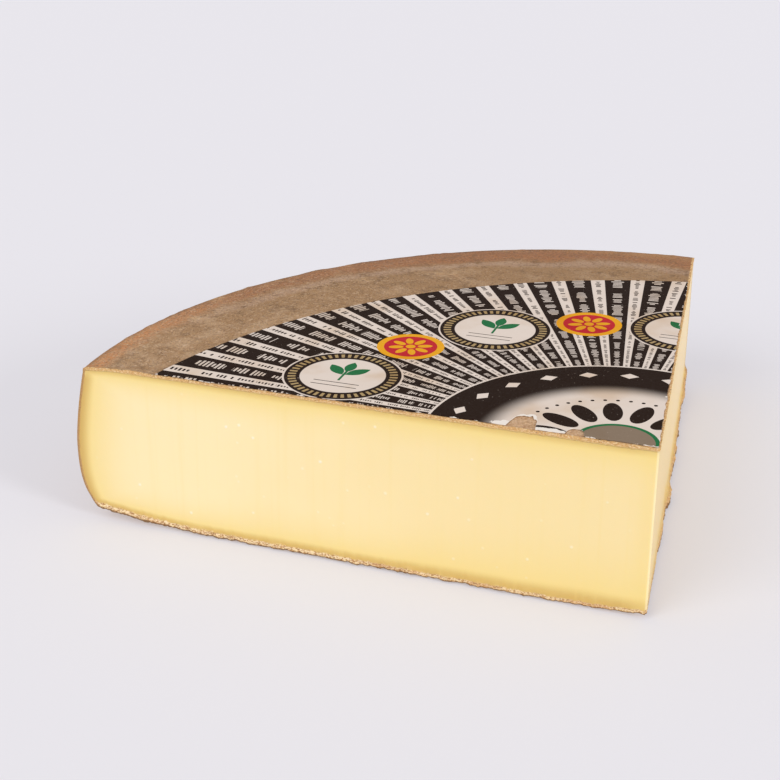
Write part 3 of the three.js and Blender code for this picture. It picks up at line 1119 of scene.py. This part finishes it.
def striped_field(radius, angle):
    """Dark sectors with cream strips between them, and a row of small print on each."""
    share, number = repeated(angle - FIRST_STRIP, SECTOR)
    turn = share * SECTOR
    strip = ramp(turn, STRIP_WIDTH + 0.03, STRIP_WIDTH - 0.03)
    # Along a logarithm the bars keep their shape while the sectors widen.
    spread = radius.maths("LOGARITHM", 2.718) * 110
    light_row = turn - (STRIP_WIDTH + SECTOR) / 2
    light = small_print(spread, light_row, number, **LIGHT_PRINT)
    dark_row = turn - STRIP_WIDTH / 2
    dark = small_print(spread + 2, dark_row, number + 50, **DARK_PRINT)
    light, dark = light * (1 - strip) * 0.9, dark * strip
    return layered(INK, (strip, PAPER), (light, PAPER), (dark, INK))


def middle_field(radius, angle):
    """The dark ring with its row of lozenges, fading into a cream middle with a rosette."""
    fade = ramp(radius, FADE_RADIUS + 9, FADE_RADIUS - 9)
    place_in, _ = repeated(angle, 15.0)
    lozenge = abs((place_in - 0.5) * 26) / 6 + abs(radius - 98) / 4
    petal_in, _ = repeated(angle + 9, 24.0)
    dots_in, _ = repeated(angle, 7.5)
    return layered(
        INK,
        (fade, PAPER),
        (lozenge < 1, PAPER),
        (oval((petal_in - 0.5) * radius * 0.42, radius - 42, 6, 13), INK),
        (oval((dots_in - 0.5) * 7.6, radius - 59, 1.2, 1.2), INK),
        (radius < CORE_RADIUS, LEAF_GREEN),
        (radius < CORE_RADIUS - CORE_LINE, EARTH),
    )


# %% [markdown]
# ## Emblems and seals
#
# Three emblems and two seals lie on the sectors by turns. Each is made of discs, rings, bars or
# leaves round its own centre, so one function draws each kind, and loops put them in place.

# %% round emblems and seals
MARKS_DISTANCE = 186.0
EMBLEM_ANGLES = (12, 52, 92)
SEAL_ANGLES = (32, 72)
EMBLEM_RADIUS = 38.0
EMBLEM_INSIDE = 27.0
EMBLEM_BARS = (29.5, 34.5)
LEAVES = (((-7, 8), 9, 2.3), ((7, 8), 9, 0.8), ((0, 14), 8, 1.57))
SEAL_RADIUS = 22.0
SEAL_BORDER = 4.6


def around(angles):
    """The centres of a set of repeated marks, in metres."""
    for turn in map(radians, angles):
        yield RING_CENTRE + Vector((-cos(turn), sin(turn), 0)) * MARKS_DISTANCE * MM


def leaf(across, along, middle, size, turn):
    """A pointed leaf between two curves, turned and moved to its place."""
    x, y = across - middle[0], along - middle[1]
    lengthwise = x * cos(turn) + y * sin(turn)
    sideways = y * cos(turn) - x * sin(turn)
    return abs(sideways) * 2.2 + (lengthwise / size) ** 2 * size < size


def emblem(ground, place, centre):
    """A dark ring with gold bars round a cream disc, with a sprig of three leaves."""
    across, along, radius, angle = polar(place, centre)
    in_bar, _ = repeated(angle, 7.5)
    return layered(
        ground,
        (radius < EMBLEM_RADIUS, PAPER),
        (within(radius, EMBLEM_INSIDE, EMBLEM_RADIUS - 1.2), INK),
        (within(radius, *EMBLEM_BARS) * (in_bar < 0.5), OLD_GOLD),
        *((leaf(across, along, *shape), LEAF_GREEN) for shape in LEAVES),
        (within(across, -0.8, 0.8) * within(along, -8, 8), LEAF_GREEN),
        (within(abs(along + 14), 2.2, 3) * (abs(across) < 15), INK),
    )


def seal(ground, place, centre):
    """A red disc with a yellow border and a yellow flower of eight petals."""
    _, _, radius, angle = polar(place, centre)
    in_petal, _ = repeated(angle, 45.0)
    return layered(
        ground,
        (radius < SEAL_RADIUS, SEAL_YELLOW),
        (radius < SEAL_RADIUS - SEAL_BORDER, SEAL_RED),
        (oval((in_petal - 0.5) * radius * 0.785, radius - 9.5, 2.5, 4.8), SEAL_YELLOW),
        (radius < 3.2, SEAL_YELLOW),
    )


print(len(EMBLEM_ANGLES), "emblems and", len(SEAL_ANGLES), "seals")

# %% [markdown]
# ## Worn paper
#
# Clean print would look new. The paper is rubbed in spots, has taken up a little fat from the
# cheese in patches, and shows white fibres along every edge that the wire tore. Those edges lie
# along two straight lines and round the tears, so distances are enough to find them. Beside the
# tears the print has also come off in two ovals.

# %% how the paper is worn
BARE_SPOTS = [
    {"middle": (-93, 1.5), "reach": (6.5, 5)},
    {"middle": (-66, 1), "reach": (12, 4)},
]
RUBBED_SIZE = 2.2 * MM
STAIN_SIZE = 40 * MM
FIBRE_WIDTH = (0.1 * MM, 1.9 * MM)
FIBRE_EDGE = 0.3 * MM
FUZZ = 5 * MM


def wear(print_colour, place):
    """Rubbed specks, faint brown patches and white fibres along the torn edges."""
    rubbed = grainy(place, RUBBED_SIZE, 4.0, 0.7)
    worn = blend(ramp(rubbed, 0.64, 0.74) * 0.45, print_colour, PAPER)
    stain = grainy(place, STAIN_SIZE, 3.0)
    worn = blend(ramp(stain, 0.45, 0.75) * 0.6, worn, PAPER_STAIN, "MULTIPLY")
    x, y, from_right = from_cuts(place)
    nearest = y.maths("MINIMUM", from_right)
    for tear in TEARS:
        across = (x - tear["at"]) / (tear["width"] / 2)
        hollow = (1 - across**4).maths("MAXIMUM", 0) ** 0.6 * tear["depth"]
        nearest = nearest.maths("MINIMUM", y - hollow)
    for spot in BARE_SPOTS:
        across = (x / MM - spot["middle"][0]) / spot["reach"][0]
        along = (y / MM - spot["middle"][1]) / spot["reach"][1]
        nearest = nearest.maths("MINIMUM", (across**2 + along**2 - 1) * 3 * MM)
    fuzz = nearest + (rubbed - 0.5) * FUZZ
    bare = ramp(grainy(place, 7 * MM, 3.0), 0.52, 0.68, *FIBRE_WIDTH)
    fibres = ramp(fuzz - bare, FIBRE_EDGE, -FIBRE_EDGE)
    return blend(fibres, worn, PAPER_FIBRE), rubbed


print("white fibres up to", FIBRE_WIDTH[1] / MM, "mm wide")

# %% print and wear in one material
tree, place = new_material("printed_paper", label)
_, _, radius, angle = polar(place, RING_CENTRE)
printed = striped_field(radius, angle)
for centre in around(EMBLEM_ANGLES):
    printed = emblem(printed, place, centre)
for centre in around(SEAL_ANGLES):
    printed = seal(printed, place, centre)
middle = middle_field(radius, angle)
inside_line = radius < RING_RADIUS - RING_LINE
printed = layered(printed, (radius < RING_RADIUS, PAPER), (inside_line, middle))
worn, rubbed = wear(printed, place)
fibres = rubbed * 0.25 + grainy(place, 14 * MM) * 0.75
surface(
    tree,
    Base_Color=worn,
    Roughness=ramp(rubbed, 0.3, 0.7, 0.5, 0.7),
    Normal=node(tree, "ShaderNodeBump", {}, Strength=0.5, Distance=0.4 * MM, Height=fibres),
    Specular_IOR_Level=0.04,
)

# %% [markdown]
# ## Floor and light
#
# The picture that this follows was taken in a pale room, with soft light from the front left
# and little contrast. Lamps close by would fade across the piece. So a pale floor under a pale
# sky gives most of the light, and two soft suns add the direction. The floor glows a little,
# which keeps shadows faint. Colours are shown plainly, without the film look that Blender adds
# by itself.

# %% floor and sky
FLOOR_SIZE = 60.0
FLOOR_GREY = colour(186, 185, 188)
FLOOR_GLOW = 0.4
STAGE_PALE = colour(232, 230, 235)
SKY_STRENGTH = 0.77

stage_mesh = bmesh.new()
bmesh.ops.create_grid(stage_mesh, x_segments=1, y_segments=1, size=FLOOR_SIZE / 2)
floor = mesh_object(stage_mesh, "floor")
tree, _ = new_material("pale_floor", floor)
surface(
    tree,
    Base_Color=FLOOR_GREY,
    Roughness=0.9,
    Emission_Color=STAGE_PALE,
    Emission_Strength=FLOOR_GLOW,
)
floor.active_material.cycles.emission_sampling = "NONE"

sky = bpy.data.worlds.new("pale_sky")
sky.use_nodes = True
background = sky.node_tree.nodes["Background"]
background.inputs["Color"].default_value = STAGE_PALE
background.inputs["Strength"].default_value = SKY_STRENGTH
bpy.context.scene.world = sky
bpy.context.scene.view_settings.view_transform = "Standard"


# %% two soft suns
def soft_sun(name, place, strength, softness):
    """A sun that shines from the side of a place, softened as if through cloth."""
    lamp = bpy.data.lights.new(name, "SUN")
    lamp.energy = strength
    lamp.angle = softness
    holder = shown(name, lamp)
    holder.location = place
    holder.rotation_euler = (-Vector(place)).to_track_quat("-Z", "Y").to_euler()


soft_sun("key", (-1.0, -1.7, 1.4), strength=1.07, softness=radians(40))
soft_sun("fill", (2.0, -0.6, 0.8), strength=1.25, softness=radians(18))
print("suns:", [light.name for light in bpy.data.lights])

# %% [markdown]
# ## Camera
#
# The camera's place was worked out from the outlines of the real piece: straight edges, the
# rim's arc and the rings of the print fix where it must have stood, how it was turned and how
# long its lens was. It looks down by about 24 degrees and a little to the left.

# %% camera
CAMERA_FROM_TIP = Vector((133.5, -832.5, 520.7)) * MM
CAMERA_TURN = 0.3412
CAMERA_PITCH = 0.422
CAMERA_ROLL = 0.0059
FOCAL_SHARE = 1633.4 / 780

lens = bpy.data.cameras.new("camera")
lens.sensor_width = 36
lens.lens = lens.sensor_width * FOCAL_SHARE
camera = shown("camera", lens)
turned = Matrix.Rotation(CAMERA_TURN, 4, "Z") @ Matrix.Rotation(pi / 2 - CAMERA_PITCH, 4, "X")
tilted = turned @ Matrix.Rotation(CAMERA_ROLL, 4, "Z")
camera.matrix_world = Matrix.Translation(TIP + CAMERA_FROM_TIP) @ tilted
bpy.context.scene.camera = camera
print(f"a lens of {lens.lens:.1f} mm")
